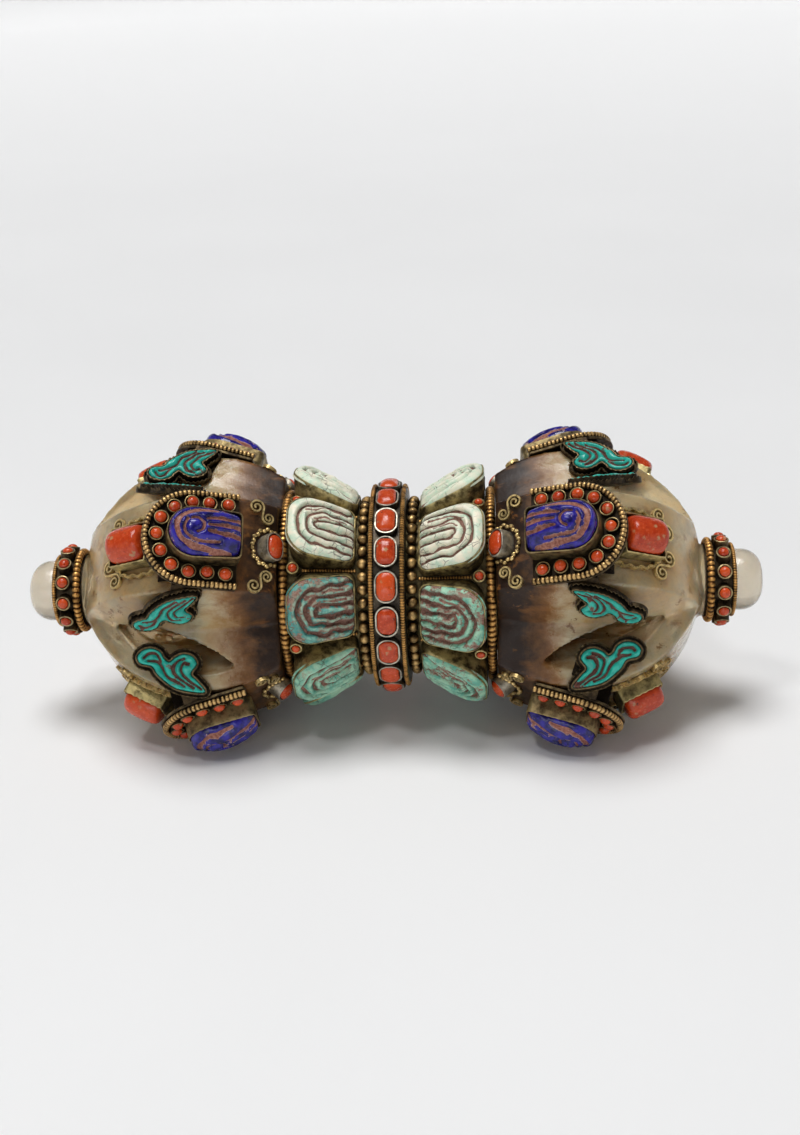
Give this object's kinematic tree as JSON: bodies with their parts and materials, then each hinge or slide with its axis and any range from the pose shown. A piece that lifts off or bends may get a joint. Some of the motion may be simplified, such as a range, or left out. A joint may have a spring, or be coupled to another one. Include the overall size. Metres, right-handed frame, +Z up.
{
  "type": "dorje vajra",
  "caption": "Double-ended ritual vajra: carved crystal prong heads with rounded finials, joined at a jewelled lotus waist and set with stone plaques; held in the hand at the waist.",
  "frame": {"origin": "middle of the vajra on its long axis, half way between the two finial tips", "axes": "+X along the long axis to the right end, +Z up between the two upper prongs, -Y towards the viewer of the picture"},
  "size_m": [0.2596, 0.0942, 0.0942],
  "materials": {
    "rock_crystal": "polished cloudy quartz with brown veils",
    "aged_brass": "dull olive brass with dark recesses",
    "bright_brass": "worn brass, bright on its edges",
    "gold_wire": "golden brass with dark gaps",
    "dark_bronze": "dark bronze with rubbed edges",
    "oxidised_silver": "oxidised silver with bright rims",
    "coral": "polished coral with small pits",
    "lapis": "polished lapis with red-brown carved grooves",
    "petal_turquoise": "pale turquoise with red-brown carved grooves",
    "wing_turquoise": "bright turquoise with red-brown carved grooves",
    "cement": "dark setting cement"
  },
  "bodies": {
    "root": {"waist_sleeve": "aged_brass", "waist_pin": "aged_brass", "girdle_band": "oxidised_silver", "girdle_wires": "bright_brass", "girdle_bezels": "oxidised_silver", "girdle_corals": "coral", "left_crystal": "rock_crystal", "left_lotus_collar": "aged_brass", "left_petal_bezels": "aged_brass", "left_petal_stones": "petal_turquoise", "left_divider_wires": "bright_brass", "left_stud_corals": "coral", "left_granule_ring": "dark_bronze", "left_hub_wire": "gold_wire", "left_clasp_bezels": "oxidised_silver", "left_clasp_corals": "coral", "left_end_collar": "oxidised_silver", "left_end_wires": "gold_wire", "left_end_corals": "coral", "left_cement_beds": "cement", "left_border_wires": "bright_brass", "left_lapis_stones": "lapis", "left_horseshoe_corals": "coral", "left_barrel_bezels": "aged_brass", "left_barrel_corals": "coral", "left_wing_bezels": "dark_bronze", "left_wing_stones": "wing_turquoise", "left_scrolls": "dark_bronze", "right_crystal": "rock_crystal", "right_lotus_collar": "aged_brass", "right_petal_bezels": "aged_brass", "right_petal_stones": "petal_turquoise", "right_divider_wires": "bright_brass", "right_stud_corals": "coral", "right_granule_ring": "dark_bronze", "right_hub_wire": "gold_wire", "right_clasp_bezels": "oxidised_silver", "right_clasp_corals": "coral", "right_end_collar": "oxidised_silver", "right_end_wires": "gold_wire", "right_end_corals": "coral", "right_cement_beds": "cement", "right_border_wires": "bright_brass", "right_lapis_stones": "lapis", "right_horseshoe_corals": "coral", "right_barrel_bezels": "aged_brass", "right_barrel_corals": "coral", "right_wing_bezels": "dark_bronze", "right_wing_stones": "wing_turquoise", "right_scrolls": "dark_bronze", "left_upper_front_plaque": "aged_brass", "left_upper_back_plaque": "aged_brass", "left_lower_back_plaque": "aged_brass", "left_lower_front_plaque": "aged_brass", "right_upper_front_plaque": "aged_brass", "right_upper_back_plaque": "aged_brass", "right_lower_back_plaque": "aged_brass", "right_lower_front_plaque": "aged_brass"}
  },
  "joints": []
}
